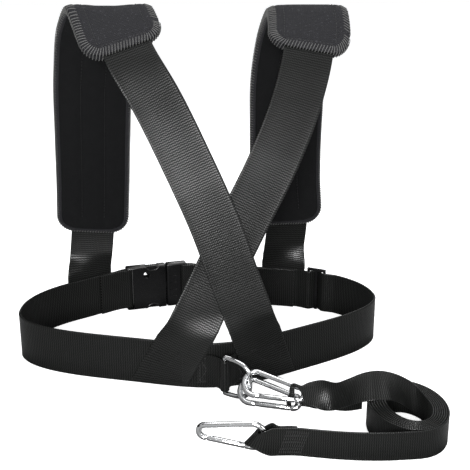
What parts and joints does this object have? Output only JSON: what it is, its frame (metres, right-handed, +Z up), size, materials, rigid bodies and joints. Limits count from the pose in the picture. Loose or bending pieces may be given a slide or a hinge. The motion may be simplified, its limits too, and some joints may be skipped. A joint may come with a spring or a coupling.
{
  "type": "resistance sprint trainer",
  "caption": "Sprint harness: waist belt with side release buckle, padded shoulder straps crossed at the back, and a wound pull strap on snap hooks.",
  "frame": {"origin": "on the lower edge of the waist belt, at the middle of the wearer's back, where the ring tab is sewn", "axes": "+Z up along the standing harness, +Y towards the wearer's front, +X towards the wearer's right side"},
  "size_m": [0.408, 0.3934, 0.3763],
  "materials": {
    "webbing": "woven webbing with a soft sheen",
    "pad_fabric": "matt woven cover",
    "pad_lining": "matt napped lining",
    "foam": "closed foam core",
    "binding": "woven edge tape",
    "buckle_plastic": "moulded, lightly grained",
    "plated_steel": "bright plated",
    "spring_steel": "drawn wire"
  },
  "bodies": {
    "harness": {"belt_webbing": "webbing", "belt_slider": "buckle_plastic", "buckle_socket": "buckle_plastic", "buckle_plug": "buckle_plastic", "ring_tab": "webbing", "pull_strap_coil": "webbing", "pull_strap_lower_loop": "webbing", "pull_strap_upper_end": "webbing", "shoulder_strap_left": "webbing", "pad_cover_left": "pad_fabric", "pad_foam_left": "foam", "pad_lining_left": "pad_lining", "pad_binding_left": "binding", "shoulder_strap_right": "webbing", "pad_cover_right": "pad_fabric", "pad_foam_right": "foam", "pad_lining_right": "pad_lining", "pad_binding_right": "binding"},
    "ring": {"d_ring": "plated_steel"},
    "prong_lower": {"buckle_prong_lower": "buckle_plastic"},
    "prong_upper": {"buckle_prong_upper": "buckle_plastic"},
    "hook_upper": {"hook_frame_upper": "plated_steel", "gate_rivet_upper": "plated_steel"},
    "gate_upper": {"hook_gate_upper": "plated_steel", "gate_spring_upper": "spring_steel"},
    "hook_lower": {"hook_frame_lower": "plated_steel", "gate_rivet_lower": "plated_steel"},
    "gate_lower": {"hook_gate_lower": "plated_steel", "gate_spring_lower": "spring_steel"},
    "hook_free": {"hook_frame_free": "plated_steel", "gate_rivet_free": "plated_steel"},
    "gate_free": {"hook_gate_free": "plated_steel", "gate_spring_free": "spring_steel"}
  },
  "joints": [
    {"name": "ring_swing", "type": "hinge", "parent": "harness", "child": "ring", "pos_m": [0.0005, -0.01724, 0.022], "axis": [0, 0, 1], "range_deg": [-4, 4]},
    {"name": "hook_upper_swing", "type": "hinge", "parent": "ring", "child": "hook_upper", "pos_m": [0.02314, -0.03692, 0], "axis": [0, 0, 1], "range_deg": [-6.7, 6.7]},
    {"name": "hook_lower_swing", "type": "hinge", "parent": "ring", "child": "hook_lower", "pos_m": [0.02314, -0.03692, 0], "axis": [0, 0, 1], "range_deg": [-6.7, 6.7]},
    {"name": "hook_free_swing", "type": "hinge", "parent": "harness", "child": "hook_free", "pos_m": [0.02185, -0.12712, 0.00309], "axis": [0, 0, 1], "range_deg": [-8, 8]},
    {"name": "gate_upper_open", "type": "hinge", "parent": "hook_upper", "child": "gate_upper", "pos_m": [0.05981, -0.05989, 0.01337], "axis": [0.287, 0.7103, -0.6428], "range_deg": [0, 15], "stiffness_Nm_per_rad": 0.12, "springref_deg": -28.65},
    {"name": "gate_lower_open", "type": "hinge", "parent": "hook_lower", "child": "gate_lower", "pos_m": [0.0561, -0.05839, 0.00435], "axis": [0.287, 0.7103, -0.6428], "range_deg": [0, 15], "stiffness_Nm_per_rad": 0.12, "springref_deg": -28.65},
    {"name": "gate_free_open", "type": "hinge", "parent": "hook_free", "child": "gate_free", "pos_m": [-0.02411, -0.11201, 0.00903], "axis": [-0.3123, -0.95, 0], "range_deg": [0, 25], "stiffness_Nm_per_rad": 0.12, "springref_deg": -28.65},
    {"name": "prong_lower_squeeze", "type": "hinge", "parent": "harness", "child": "prong_lower", "pos_m": [-0.0443, 0.22725, 0.009], "axis": [-0.1539, 0.9881, 0], "range_deg": [0, 9], "stiffness_Nm_per_rad": 0.5, "springref_deg": -2.86},
    {"name": "prong_upper_squeeze", "type": "hinge", "parent": "harness", "child": "prong_upper", "pos_m": [-0.0443, 0.22725, 0.047], "axis": [0.1539, -0.9881, 0], "range_deg": [0, 9], "stiffness_Nm_per_rad": 0.5, "springref_deg": -2.86}
  ],
  "couplings": [
    {"joint": "hook_upper_swing", "follows": "ring_swing", "ratio": -1.65},
    {"joint": "hook_lower_swing", "follows": "ring_swing", "ratio": -1.65}
  ]
}
